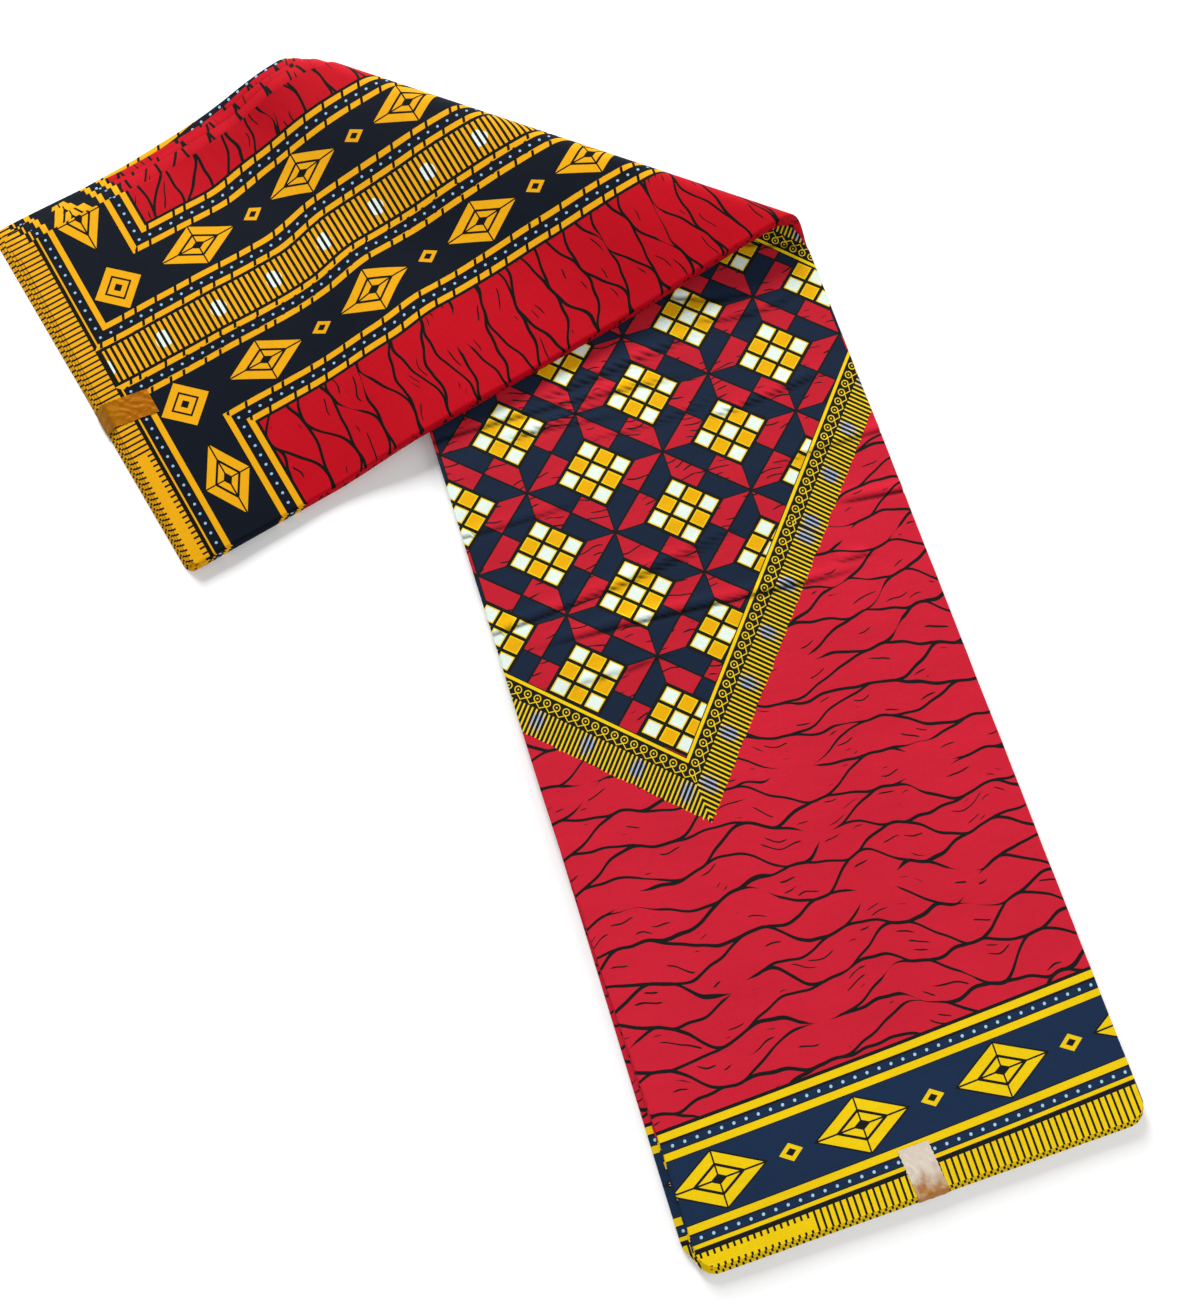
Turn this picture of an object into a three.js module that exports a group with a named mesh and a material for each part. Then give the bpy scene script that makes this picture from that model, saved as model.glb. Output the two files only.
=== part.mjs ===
// A six-yard length of printed cotton, folded into a flat strip of eighteen layers that is
// turned over once along a slanting line. The strip lies on a surface: the lower stretch runs
// up to the turn, the upper stretch comes back over it and on down to the surface.
// Millimetres, +Z up. The origin is the middle of the whole outline, on the surface.

import * as THREE from "three";

// Driving dimensions of the folded strip.
const STRIP_WIDTH = 305; // a yard-long pleat, folded in three
const STRIP_THICKNESS = 8.4; // eighteen soft layers
const LEAF_COUNT = 5; // bundles of layers that show apart at the edges
const TURN_RADIUS = 6.7; // hollow inside the slanting turn
const LOWER_LENGTH = 741; // along the middle, from the front end to the turn
const UPPER_LENGTH = 404; // along the middle, from the turn to the far end, the turn included
const LOWER_DIRECTION = 107.82; // degrees from +X, from the front end towards the turn
const TURN_DIRECTION = -20.39; // degrees from +X, along the turn
const FRONT_MIDDLE = { x: 251.02, y: -367.98 }; // where the lower stretch starts

// How the upper stretch settles.
const LOFT_REACH = 113; // from the turn to where the upper stretch lies on the lower one
const STEP_DOWN = { from: 2, over: 75 }; // past the lower stretch's edge, down to the surface
const TURN_EASING = 60; // over this distance from the turn, the step down sets in

// Gaps and edges.
const SEAM_GAP = 0.4; // between two solids that meet
const EDGE_CROWDING = 0.75; // how much closer the cross rows lie near the sides, 0 to 1
const LEAF_ROUNDING = { inset: 0.6, rise: 0.25 };

// Each bundle of layers, from the surface up in the lower stretch. Sides and ends are
// measured outwards from the strip's nominal outline: the left side at the front, before the
// turn and after it, the right side at the front, and each end at its left and right.
const LEAVES = [
  { left: [0.0, -1.0, -22.0], right: -1.5, front: [0.5, 6.0], far: [-0.7, -0.7] },
  { left: [0.4, -0.5, -12.5], right: -6.5, front: [1.0, 9.0], far: [2.4, 1.2] },
  { left: [-5.0, 0.0, -6.5], right: -7.5, front: [11.0, 10.0], far: [5.4, 3.0] },
  { left: [-6.0, -0.6, -1.0], right: -2.5, front: [8.6, 8.0], far: [8.4, 4.6] },
  { left: [-6.5, 0.0, 3.5], right: 0.0, front: [6.2, 5.6], far: [11.0, 6.0] },
];
const FRONT_EASING = 330; // over this length from the front, the sides come into line
const CORNER_RADIUS = { front: 13, far: 8 };
const EDGE_WAVE = { height: 0.8, length: 150, shift: 0.37 }; // the free edges waver a little

// Foil seals stuck over the two ends. Lengths run inwards from the end, middles across.
const SEAL = { clearance: 0.35, thickness: 0.6 };
const GOLD_SEAL = { length: 32, width: 20, middle: 27.6, turn: -8.9 };
const SILVER_SEAL = { length: 23, width: 20.5, middle: 3.6, turn: -5.2 };

const LEAF_THICKNESS = STRIP_THICKNESS / LEAF_COUNT;
const STRIP_LENGTH = LOWER_LENGTH + UPPER_LENGTH;
const HALF_WIDTH = STRIP_WIDTH / 2;
const TURN_LENGTH = Math.PI * (TURN_RADIUS + STRIP_THICKNESS / 2);

const unit = (degrees) => {
  const angle = THREE.MathUtils.degToRad(degrees);
  return new THREE.Vector2(Math.cos(angle), Math.sin(angle));
};
const ALONG = unit(LOWER_DIRECTION);
const ACROSS = unit(LOWER_DIRECTION - 90);
const TURN_LINE = unit(TURN_DIRECTION);
const TURN_NORMAL = unit(TURN_DIRECTION + 90);
const FRONT = new THREE.Vector2(FRONT_MIDDLE.x, FRONT_MIDDLE.y);
const TURN_POINT = FRONT.clone().addScaledVector(ALONG, LOWER_LENGTH);
const ALONG_OVER_TURN = ALONG.dot(TURN_NORMAL);
const ACROSS_OVER_TURN = ACROSS.dot(TURN_NORMAL);

const smooth = (value) => THREE.MathUtils.smoothstep(value, 0, 1);
const mix = THREE.MathUtils.lerp;

// How far past the turn's line a point of the flat strip lies, and the way back from it.
const pastTurn = (s, w) => (s - LOWER_LENGTH) * ALONG_OVER_TURN + w * ACROSS_OVER_TURN;
const stripAt = (past, w) => LOWER_LENGTH + (past - w * ACROSS_OVER_TURN) / ALONG_OVER_TURN;

// Height of the upper stretch's underside at a place in plan, back mm behind the turn.
function undersideHeight(x, y, back) {
  const outside = -((x - FRONT.x) * ACROSS.x + (y - FRONT.y) * ACROSS.y) - HALF_WIDTH;
  const down = smooth((outside - STEP_DOWN.from) / STEP_DOWN.over) * smooth(back / TURN_EASING);
  const loft = 1 - smooth(back / LOFT_REACH);
  const support = (STRIP_THICKNESS + SEAM_GAP * (1 - loft)) * (1 - down);
  return support + 2 * TURN_RADIUS * loft;
}

// Where a point of the strip goes: s along it, w across it (to the right), and h its height
// in the flat strip. All layers take the middle layer's length round the turn.
function place(s, w, h) {
  const flat = FRONT.clone().addScaledVector(ALONG, s).addScaledVector(ACROSS, w);
  const past = pastTurn(s, w);
  if (past <= 0) return new THREE.Vector3(flat.x, flat.y, h);
  const sideways = flat.clone().sub(TURN_POINT).dot(TURN_LINE);
  const radius = TURN_RADIUS + STRIP_THICKNESS - h;
  const angle = (Math.min(past, TURN_LENGTH) / TURN_LENGTH) * Math.PI;
  const back = Math.max(past - TURN_LENGTH, 0);
  const out = radius * Math.sin(angle) - back;
  const spot = TURN_POINT.clone().addScaledVector(TURN_LINE, sideways).addScaledVector(TURN_NORMAL, out);
  if (past <= TURN_LENGTH) {
    const height = TURN_RADIUS + STRIP_THICKNESS - radius * Math.cos(angle);
    return new THREE.Vector3(spot.x, spot.y, height);
  }
  const height = undersideHeight(spot.x, spot.y, back) + STRIP_THICKNESS - h;
  return new THREE.Vector3(spot.x, spot.y, height);
}

// How far a rounded corner draws an end back at w, between the left and right edges.
function cornerSetBack(w, left, right, radius) {
  const fromSide = Math.max(Math.min(w - left, right - w), 0);
  const inside = Math.max(radius - fromSide, 0);
  return radius - Math.sqrt(radius * radius - inside * inside);
}

// The outline of one bundle of layers: its left and right edges and its two ends.
function leafEdges(leaf, index) {
  const wave = (s) => {
    const turns = s / EDGE_WAVE.length + index * EDGE_WAVE.shift;
    return EDGE_WAVE.height * Math.sin(turns * 2 * Math.PI);
  };
  const left = (s) => {
    const settled = smooth(s / FRONT_EASING);
    const turned = smooth((s - LOWER_LENGTH + HALF_WIDTH) / HALF_WIDTH);
    const out = mix(mix(leaf.left[0], leaf.left[1], settled), leaf.left[2], turned);
    return -HALF_WIDTH - out - wave(s) * turned;
  };
  const right = (s) => HALF_WIDTH + leaf.right * (1 - smooth(s / FRONT_EASING));
  const share = (w) => w / STRIP_WIDTH + 0.5;
  const front = (w) => {
    const setBack = cornerSetBack(w, left(0), right(0), CORNER_RADIUS.front);
    return setBack - mix(...leaf.front, share(w));
  };
  const far = (w) => {
    const setBack = cornerSetBack(w, left(STRIP_LENGTH), right(STRIP_LENGTH), CORNER_RADIUS.far);
    return STRIP_LENGTH + mix(...leaf.far, share(w)) - setBack;
  };
  return { left, right, front, far };
}

// The levels of the side walls: each bundle has a rounded nose of three levels.
function sideLevels() {
  const levels = [];
  const { inset, rise } = LEAF_ROUNDING;
  LEAVES.forEach((leaf, index) => {
    const base = index * LEAF_THICKNESS;
    const edges = leafEdges(leaf, index);
    const low = index === 0 ? 0 : base + rise;
    const high = index === LEAF_COUNT - 1 ? STRIP_THICKNESS : base + LEAF_THICKNESS - rise;
    levels.push({ h: low, inset, edges });
    levels.push({ h: base + LEAF_THICKNESS / 2, inset: 0, edges });
    levels.push({ h: high, inset, edges });
  });
  return levels;
}

// One stretch of the strip between two bounds. A bound gives its place along the strip for
// each width and level, and its levels are set back only where it is a free end.
function stretchSolid({ start, end, along, across }) {
  const levels = sideLevels();
  const pointAt = (i, j, level) => {
    const u = i / along;
    const v = mix(j / across, smooth(j / across), EDGE_CROWDING);
    const guess = mix(start(0, level), end(0, level), u);
    let w = 0;
    let s = guess;
    for (let pass = 0; pass < 3; pass += 1) {
      w = mix(level.edges.left(s) + level.inset, level.edges.right(s) - level.inset, v);
      s = mix(start(w, level), end(w, level), u);
    }
    return place(s, w, level.h);
  };

  const rim = [];
  for (let j = 0; j < across; j += 1) rim.push([0, j]);
  for (let i = 0; i < along; i += 1) rim.push([i, across]);
  for (let j = across; j > 0; j -= 1) rim.push([along, j]);
  for (let i = along; i > 0; i -= 1) rim.push([i, 0]);

  const points = [];
  const faces = [];
  const quad = (a, b, c, d) => faces.push(a, b, c, a, c, d);

  for (const level of levels) {
    for (const [i, j] of rim) points.push(pointAt(i, j, level));
  }
  for (let row = 0; row + 1 < levels.length; row += 1) {
    for (let k = 0; k < rim.length; k += 1) {
      const next = (k + 1) % rim.length;
      const low = row * rim.length;
      const high = low + rim.length;
      quad(low + k, low + next, high + next, high + k);
    }
  }

  // The underside and the top are grids whose borders are the first and last rims.
  const addCover = (level, firstOfRim, upward) => {
    const index = new Map(rim.map(([i, j], k) => [`${i},${j}`, firstOfRim + k]));
    for (let i = 1; i < along; i += 1) {
      for (let j = 1; j < across; j += 1) {
        index.set(`${i},${j}`, points.length);
        points.push(pointAt(i, j, level));
      }
    }
    const at = (i, j) => index.get(`${i},${j}`);
    for (let i = 0; i < along; i += 1) {
      for (let j = 0; j < across; j += 1) {
        const corners = [at(i, j), at(i, j + 1), at(i + 1, j + 1), at(i + 1, j)];
        if (!upward) corners.reverse();
        quad(...corners);
      }
    }
  };
  addCover(levels[0], 0, false);
  addCover(levels[levels.length - 1], (levels.length - 1) * rim.length, true);
  return geometryOf(points, faces);
}

function geometryOf(points, faces) {
  const geometry = new THREE.BufferGeometry();
  geometry.setFromPoints(points);
  geometry.setIndex(faces);
  geometry.computeVertexNormals();
  return geometry;
}

// The four bounds: the two free ends, and the two seams at the turn.
const frontEnd = (w, level) => level.edges.front(w) + level.inset;
const beforeTurn = (w) => stripAt(-SEAM_GAP / 2, w);
const turnStart = (w) => stripAt(SEAM_GAP / 2, w);
const turnEnd = (w) => stripAt(TURN_LENGTH - SEAM_GAP / 2, w);
const afterTurn = (w) => stripAt(TURN_LENGTH + SEAM_GAP / 2, w);
const farEnd = (w, level) => level.edges.far(w) - level.inset;

// A foil seal: a thin band laid over an end. Its path is a row of (s, h) points from the
// inner end, over the edge and down the layers, and it stands off them by the clearance.
function sealSolid(path, seal) {
  const standOff = (distance) =>
    path.map((point, index) => {
      const before = path[Math.max(index - 1, 0)];
      const after = path[Math.min(index + 1, path.length - 1)];
      const normal = new THREE.Vector2(after.y - before.y, before.x - after.x).normalize();
      return point.clone().addScaledVector(normal, distance);
    });
  const near = standOff(SEAL.clearance);
  const far = standOff(SEAL.clearance + SEAL.thickness);
  const loop = near.concat(far.reverse());
  const lean = Math.tan(THREE.MathUtils.degToRad(seal.turn));
  const points = [];
  for (const side of [-0.5, 0.5]) {
    for (const { x: s, y: h } of loop) {
      const w = seal.middle + side * seal.width + lean * (s - path[0].x);
      points.push(place(s, w, h));
    }
  }
  const count = loop.length;
  const faces = [];
  const quad = (a, b, c, d) => faces.push(a, b, c, a, c, d);
  for (let k = 0; k < count; k += 1) {
    const next = (k + 1) % count;
    quad(k, k + count, next + count, next);
  }
  for (let k = 0; k + 1 < path.length; k += 1) {
    const [a, b, c, d] = [k, k + 1, count - 2 - k, count - 1 - k];
    quad(a, b, c, d);
    quad(d + count, c + count, b + count, a + count);
  }
  return geometryOf(points, faces);
}

const vec = (s, h) => new THREE.Vector2(s, h);

// The gold seal comes over the far end, where each bundle reaches past the one above it.
function goldSealPath() {
  const share = GOLD_SEAL.middle / STRIP_WIDTH + 0.5;
  const reach = LEAVES.map((leaf) => STRIP_LENGTH + mix(...leaf.far, share));
  const inner = reach[0] - GOLD_SEAL.length;
  return [
    vec(inner, 0),
    vec((inner + reach[0]) / 2, 0),
    vec(reach[0], 0),
    vec(reach[2], LEAF_THICKNESS * 2),
    vec(reach[4], LEAF_THICKNESS * 4),
  ];
}

// The silver seal comes over the front end, down to the bundle that reaches furthest.
function silverSealPath() {
  const share = SILVER_SEAL.middle / STRIP_WIDTH + 0.5;
  const reach = LEAVES.map((leaf) => mix(...leaf.front, share));
  return [
    vec(SILVER_SEAL.length, STRIP_THICKNESS),
    vec(SILVER_SEAL.length / 2, STRIP_THICKNESS),
    vec(-reach[4], STRIP_THICKNESS),
    vec(-reach[3], LEAF_THICKNESS * 4),
    vec(-reach[2], LEAF_THICKNESS * 3),
    vec(-reach[2], LEAF_THICKNESS),
  ];
}

const cotton = new THREE.MeshStandardMaterial({ color: 0xc8142c, roughness: 0.75, metalness: 0 });
const deepCotton = new THREE.MeshStandardMaterial({ color: 0xa80f22, roughness: 0.8, metalness: 0 });
const goldFoil = new THREE.MeshStandardMaterial({ color: 0xc07a1c, roughness: 0.35, metalness: 0.9 });
const paleFoil = new THREE.MeshStandardMaterial({ color: 0xd0a890, roughness: 0.4, metalness: 0.9 });

const fabric = new THREE.Group();

function addPiece(name, geometry, material) {
  const piece = new THREE.Mesh(geometry, material);
  piece.name = name;
  fabric.add(piece);
}

addPiece(
  "lower_stretch",
  stretchSolid({ start: frontEnd, end: beforeTurn, along: 22, across: 10 }),
  cotton,
);
addPiece(
  "turned_fold",
  stretchSolid({ start: turnStart, end: turnEnd, along: 12, across: 10 }),
  deepCotton,
);
addPiece(
  "upper_stretch",
  stretchSolid({ start: afterTurn, end: farEnd, along: 26, across: 12 }),
  deepCotton,
);
addPiece("gold_seal", sealSolid(goldSealPath(), GOLD_SEAL), goldFoil);
addPiece("silver_seal", sealSolid(silverSealPath(), SILVER_SEAL), paleFoil);

export default fabric;
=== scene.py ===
import math

import bpy
import numpy as np
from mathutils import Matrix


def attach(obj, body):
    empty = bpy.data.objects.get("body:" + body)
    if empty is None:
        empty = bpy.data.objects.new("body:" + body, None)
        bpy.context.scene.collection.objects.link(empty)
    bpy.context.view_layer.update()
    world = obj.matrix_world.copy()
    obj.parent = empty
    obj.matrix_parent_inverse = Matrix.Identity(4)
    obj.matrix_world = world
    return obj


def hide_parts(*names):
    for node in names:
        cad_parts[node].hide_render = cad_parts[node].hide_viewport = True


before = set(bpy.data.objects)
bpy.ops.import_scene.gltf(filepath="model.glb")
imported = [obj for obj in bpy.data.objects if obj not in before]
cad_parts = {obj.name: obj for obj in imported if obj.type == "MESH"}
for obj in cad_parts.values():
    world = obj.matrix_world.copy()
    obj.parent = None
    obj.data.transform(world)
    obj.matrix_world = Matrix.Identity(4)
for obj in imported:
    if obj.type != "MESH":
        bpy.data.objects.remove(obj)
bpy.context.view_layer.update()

# A length of printed cotton, folded into a flat strip of eighteen layers and turned over once
# along a slanting line. Sizes are in millimetres and directions in degrees.
# s runs along the strip from the front end, w across it, and h through its thickness.
MM = 0.001
STRIP_WIDTH = 305.0
STRIP_THICKNESS = 8.4
TURN_RADIUS = 6.7
LOWER_LENGTH = 741.0
UPPER_LENGTH = 404.0
LOWER_DIRECTION = 107.82
TURN_DIRECTION = -20.39
FRONT_MIDDLE = np.array([251.02, -367.98])

# Past the roll the upper stretch sinks onto the lower one, and steps down beyond its edge.
LOFT_REACH = 113.0
STEP_DOWN = {"from": 2.0, "over": 75.0}
TURN_EASING = 60.0
SEAM_GAP = 0.4

# The bundles of layers that show apart at the edges, from the underside of the lower stretch
# up, and how far each reaches past the strip's outline. left: at the front, before the turn,
# after it. front, far: at left, at right. slip: how far aside the bundle's print lies. They
# show ten layers, each nearly twice as thick as one of the real eighteen.
BUNDLES = (
    {"left": (0.0, -1.0, -22.0), "front": (0.5, 6.0), "far": (-0.7, -0.7), "slip": 0.0},
    {"left": (0.4, -0.5, -12.5), "front": (1.0, 9.0), "far": (2.4, 1.2), "slip": 1.3},
    {"left": (-5.0, 0.0, -6.5), "front": (11.0, 10.0), "far": (5.4, 3.0), "slip": -1.7},
    {"left": (-6.0, -0.6, -1.0), "front": (8.6, 8.0), "far": (8.4, 4.6), "slip": 0.8},
    {"left": (-6.5, 0.0, 3.5), "front": (6.2, 5.6), "far": (11.0, 6.0), "slip": 0.0},
)
LAYERS_IN_BUNDLE = 2
LAYER_STAGGER = 0.5
FRONT_EASING = 330.0
CORNER_RADIUS = {"front": 13.0, "far": 8.0}
EDGE_WAVE = {"height": 0.8, "length": 150.0, "shift": 0.37}
LAYER_ROUNDING = {"inset": 0.35, "rise": 0.14}
FOLDED_SIDE_DEPTH = 1.6

# How far the print jumps at the upper stretch's hem, and from one bundle to the next.
HEM_SLIP = 59.0
VEIN_SLIP = 43.0

HALF_WIDTH = STRIP_WIDTH / 2
STRIP_LENGTH = LOWER_LENGTH + UPPER_LENGTH
TURN_LENGTH = math.pi * (TURN_RADIUS + STRIP_THICKNESS / 2)
LAYER_COUNT = len(BUNDLES) * LAYERS_IN_BUNDLE
LAYER_THICKNESS = STRIP_THICKNESS / LAYER_COUNT


def unit(degrees):
    return np.array([math.cos(math.radians(degrees)), math.sin(math.radians(degrees))])


ALONG = unit(LOWER_DIRECTION)
ACROSS = unit(LOWER_DIRECTION - 90)
TURN_LINE = unit(TURN_DIRECTION)
TURN_NORMAL = unit(TURN_DIRECTION + 90)
TURN_POINT = FRONT_MIDDLE + ALONG * LOWER_LENGTH
ALONG_OVER_TURN = float(ALONG @ TURN_NORMAL)
ACROSS_OVER_TURN = float(ACROSS @ TURN_NORMAL)


def smooth(value):
    clipped = np.clip(value, 0.0, 1.0)
    return clipped * clipped * (3 - 2 * clipped)


def mix(low, high, share):
    return low + (high - low) * share


def past_turn(s, w):
    """How far a point of the strip lies past the turning line."""
    return (s - LOWER_LENGTH) * ALONG_OVER_TURN + w * ACROSS_OVER_TURN


def strip_at(past, w):
    """The s of the point at w that lies so far past the turning line."""
    return LOWER_LENGTH + (past - w * ACROSS_OVER_TURN) / ALONG_OVER_TURN


def underside_height(flat, back):
    """How high the upper stretch's underside is, at a point so far back from the roll."""
    outside = -((flat - FRONT_MIDDLE) @ ACROSS) - HALF_WIDTH
    down = smooth((outside - STEP_DOWN["from"]) / STEP_DOWN["over"]) * smooth(back / TURN_EASING)
    loft = 1 - smooth(back / LOFT_REACH)
    support = (STRIP_THICKNESS + SEAM_GAP * (1 - loft)) * (1 - down)
    return support + 2 * TURN_RADIUS * loft


def place(s, w, h):
    """The place in space of points of the strip, in millimetres."""
    s, w, h = np.broadcast_arrays(s, w, h)
    flat = FRONT_MIDDLE + s[..., None] * ALONG + w[..., None] * ACROSS
    past = past_turn(s, w)
    sideways = (flat - TURN_POINT) @ TURN_LINE
    radius = TURN_RADIUS + STRIP_THICKNESS - h
    angle = np.clip(past / TURN_LENGTH, 0, 1) * math.pi
    back = np.maximum(past - TURN_LENGTH, 0)
    out = radius * np.sin(angle) - back
    turned = TURN_POINT + sideways[..., None] * TURN_LINE + out[..., None] * TURN_NORMAL
    on_roll = TURN_RADIUS + STRIP_THICKNESS - radius * np.cos(angle)
    laid_back = underside_height(turned, back) + STRIP_THICKNESS - h
    height = np.where(past <= 0, h, np.where(past <= TURN_LENGTH, on_roll, laid_back))
    across_floor = np.where((past <= 0)[..., None], flat, turned)
    return np.concatenate([across_floor, height[..., None]], axis=-1)


class Layer:
    """One of the layers that show: how far it reaches, and where its print lies."""

    def __init__(self, index):
        self.index = index
        self.bundle = BUNDLES[index // LAYERS_IN_BUNDLE]
        place_in_bundle = index % LAYERS_IN_BUNDLE
        in_lower_half = index < LAYER_COUNT / 2
        self.set_back = LAYER_STAGGER * (place_in_bundle if in_lower_half else 1 - place_in_bundle)
        self.low = index * LAYER_THICKNESS
        self.high = self.low + LAYER_THICKNESS

    def wave(self, s):
        turns = s / EDGE_WAVE["length"] + self.index * EDGE_WAVE["shift"] / LAYERS_IN_BUNDLE
        return EDGE_WAVE["height"] * np.sin(turns * 2 * math.pi)

    def left(self, s):
        settled = smooth(s / FRONT_EASING)
        turned = smooth((s - LOWER_LENGTH + HALF_WIDTH) / HALF_WIDTH)
        at_front, before_turn, after_turn = self.bundle["left"]
        out = mix(mix(at_front, before_turn, settled), after_turn, turned) - self.set_back
        return -HALF_WIDTH - out - self.wave(s) * turned

    def front_line(self, w):
        return self.set_back - mix(*self.bundle["front"], w / STRIP_WIDTH + 0.5)

    def far_line(self, w):
        return STRIP_LENGTH + mix(*self.bundle["far"], w / STRIP_WIDTH + 0.5) - self.set_back

    def corner(self, w, s, radius):
        from_side = np.clip(np.minimum(w - self.left(s), HALF_WIDTH - w), 0, radius)
        return radius - np.sqrt(radius**2 - (radius - from_side) ** 2)

    def front(self, w):
        return self.front_line(w) + self.corner(w, 0.0, CORNER_RADIUS["front"])

    def far(self, w):
        return self.far_line(w) - self.corner(w, STRIP_LENGTH, CORNER_RADIUS["far"])

    def print_place(self, s, w, turned):
        """A point's place in the layer's own print: across, from the front and from the far end.

        The bands lie by the end that the face in question starts from, and the veins by the
        other one, so each bundle's veins are its own."""
        number = self.index // LAYERS_IN_BUNDLE
        from_front = s - self.front_line(w)
        from_far = self.far_line(w) - s
        across = w + self.bundle["slip"]
        if turned:
            from_front = from_front + VEIN_SLIP * number
            across = across + np.where(w < 0, HEM_SLIP * (number == len(BUNDLES) - 1), 0.0)
        else:
            from_far = from_far + VEIN_SLIP * (len(BUNDLES) - 1 - number)
        return np.stack([across, from_front, from_far], axis=-1)


LAYERS = [Layer(index) for index in range(LAYER_COUNT)]


def side_levels():
    """The heights at which the strip's outline is worked out, from the underside up."""
    levels = []
    inset, rise = LAYER_ROUNDING["inset"], LAYER_ROUNDING["rise"]
    for layer in LAYERS:
        low = layer.low if layer.index == 0 else layer.low + rise
        high = layer.high if layer.index == LAYER_COUNT - 1 else layer.high - rise
        levels.append((low, inset, layer))
        levels.append(((layer.low + layer.high) / 2, 0.0, layer))
        levels.append((high, inset, layer))
    return levels


# ---- Relief of the cloth: creases, with their painted shade and highlight, and soft swells ----

# Creases of the lower stretch's top, each a groove with a ridge beside it. route: points (s, w)
# of its line. depth: as a share of the crease height.
CREASES = (
    {"route": ((414, -190), (422, -66), (433, 30)), "depth": 0.60, "width": 1.5},
    {"route": ((397, -140), (394, -54), (388, 28), (383, 120)), "depth": 0.80, "width": 1.5},
    {"route": ((566, -90), (575, -17), (584, 58)), "depth": 0.65, "width": 1.6},
    {"route": ((544, -112), (556, -20)), "depth": 0.50, "width": 1.5},
    {"route": ((424, -66), (438, 42)), "depth": 0.40, "width": 1.3},
    {"route": ((433, 98), (423, 185)), "depth": 0.60, "width": 1.6},
    {"route": ((561, -190), (560, -29), (554, 50)), "depth": 0.60, "width": 1.5},
    {"route": ((550, -110), (541, -16)), "depth": 0.40, "width": 1.3},
    {"route": ((631, 18), (608, 63), (601, 112)), "depth": 0.65, "width": 1.6},
    {"route": ((392, 88), (391, 116)), "depth": 0.50, "width": 1.3},
    {"route": ((366, -124), (365, -77), (367, -30)), "depth": 0.40, "width": 1.3},
    {"route": ((519, 28), (522, 78), (529, 138)), "depth": 0.55, "width": 1.5},
    {"route": ((596, 46), (586, 93), (594, 138)), "depth": 0.50, "width": 1.4},
    {"route": ((492, -190), (487, -120), (489, -60)), "depth": 0.40, "width": 1.4},
    {"route": ((470, 60), (474, 120), (470, 190)), "depth": 0.40, "width": 1.5},
    {"route": ((668, 60), (640, 108), (622, 165)), "depth": 0.55, "width": 1.6},
    {"route": ((655, 96), (634, 170)), "depth": 0.40, "width": 1.4},
    {"route": ((533, -60), (528, 6), (536, 60)), "depth": 0.35, "width": 1.2},
)
CREASE_TAPER = 0.3
CREASE_HEIGHT = 1.7
# Painted shade in each crease's groove and a painted highlight on its ridge: how strong, how narrow,
# and its bounds.
CREASE_SHADE = {"groove": 1.7, "ridge": 0.4, "narrowing": 1.1, "least": -0.2, "most": 0.8}
RIDGE = {"height": 0.55, "aside": 3.4, "width": 2.4}

# Soft swells: height, and the lengths along and across over which each repeats.
LOWER_SWELLS = (
    {"height": 0.22, "along": 118.0, "across": 610.0, "phase": 0.4},
    {"height": 0.14, "along": 57.0, "across": -330.0, "phase": 1.9},
    {"height": 0.10, "along": 31.0, "across": 190.0, "phase": 4.1},
    {"height": 0.10, "along": -240.0, "across": 84.0, "phase": 2.7},
)
UPPER_SWELLS = (
    {"height": 0.30, "along": 96.0, "across": 420.0, "phase": 2.2},
    {"height": 0.16, "along": 47.0, "across": -260.0, "phase": 0.3},
    {"height": 0.14, "along": -210.0, "across": 71.0, "phase": 3.6},
)
RELIEF_EASING = 45.0


def crease_profile(s, w, narrowing=1.0):
    """The creases' grooves and ridges, each weighed by its crease's depth."""
    grooves, ridges = np.zeros_like(s), np.zeros_like(s)
    for crease in CREASES:
        along, across = np.array(crease["route"], dtype=float).T
        bend = np.polyfit(across, along, len(across) - 1)
        aside = (s - np.polyval(bend, w)) / crease["width"]
        share = (w - across[0]) / (across[-1] - across[0])
        taper = smooth(np.minimum(share, 1 - share) / CREASE_TAPER)
        grooves += crease["depth"] * taper * np.exp(-((aside * narrowing) ** 2))
        ridges += crease["depth"] * taper * np.exp(-(((aside - RIDGE["aside"]) / RIDGE["width"]) ** 2))
    return grooves, ridges


def crease_relief(s, w):
    grooves, ridges = crease_profile(s, w)
    return CREASE_HEIGHT * (RIDGE["height"] * ridges - grooves)


def crease_shade(s, w):
    """The painted shade of a point in a crease, as the share of its colour taken off; below 0 on the
    ridge beside it, a painted highlight.
    """
    grooves, ridges = crease_profile(s, w, CREASE_SHADE["narrowing"])
    shade = CREASE_SHADE["groove"] * grooves - CREASE_SHADE["ridge"] * ridges
    return np.clip(shade, CREASE_SHADE["least"], CREASE_SHADE["most"])


def swell_relief(s, w, swells):
    height = np.zeros_like(s)
    for swell in swells:
        turns = s / swell["along"] + w / swell["across"]
        height += swell["height"] * np.sin(turns * 2 * math.pi + swell["phase"])
    return height


def lower_relief(s, w):
    easing = smooth(-past_turn(s, w) / RELIEF_EASING)
    return (crease_relief(s, w) + swell_relief(s, w, LOWER_SWELLS)) * easing


def no_shade(s, w):
    return np.zeros_like(s)


def upper_relief(s, w):
    easing = smooth((past_turn(s, w) - TURN_LENGTH) / RELIEF_EASING)
    return swell_relief(s, w, UPPER_SWELLS) * easing


# ---- The cloth's meshes ----

LOWER_ROWS = 510
CREASED_ROWS = {"from": 0.47, "to": 0.87, "rows": 360}
TURN_ROWS = 26
UPPER_ROWS = 150
CROSS_ROWS = 58
EDGE_CROWDING = 0.75
FITTING_ROUNDS = 4
SHARP_ANGLE = 50.0


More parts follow.
